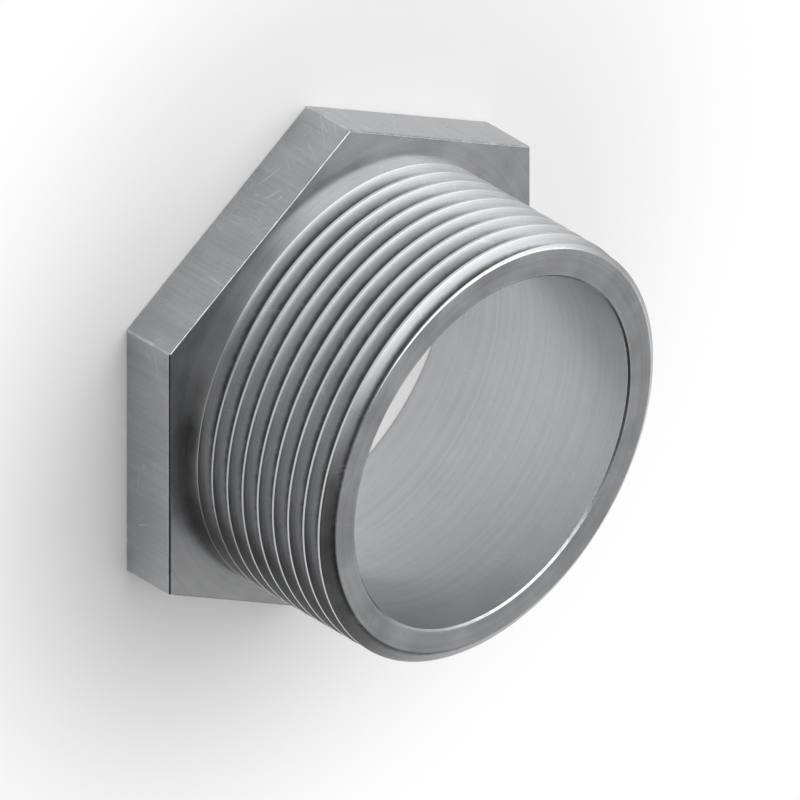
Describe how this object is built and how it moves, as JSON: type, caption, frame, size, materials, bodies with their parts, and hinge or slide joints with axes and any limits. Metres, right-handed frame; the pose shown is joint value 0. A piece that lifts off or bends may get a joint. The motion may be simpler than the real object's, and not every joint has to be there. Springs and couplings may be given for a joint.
{
  "type": "chase nipple",
  "caption": "Chase nipple for electrical conduit: hexagon head on a short shank with an outside pipe thread, bored right through.",
  "frame": {"origin": "centre of the head's outer face, on the axis of the bore; the part stands on this face", "axes": "+Z along the bore from the head to the threaded end, +X square to a flat of the hexagon, +Y through a corner of the hexagon"},
  "size_m": [0.0524, 0.0604, 0.027],
  "materials": {
    "zinc_plated_steel": "plain grey zinc plating with a satin sheen, with fine turning marks on the faces"
  },
  "bodies": {
    "root": {"chase_nipple": "zinc_plated_steel"}
  },
  "joints": []
}
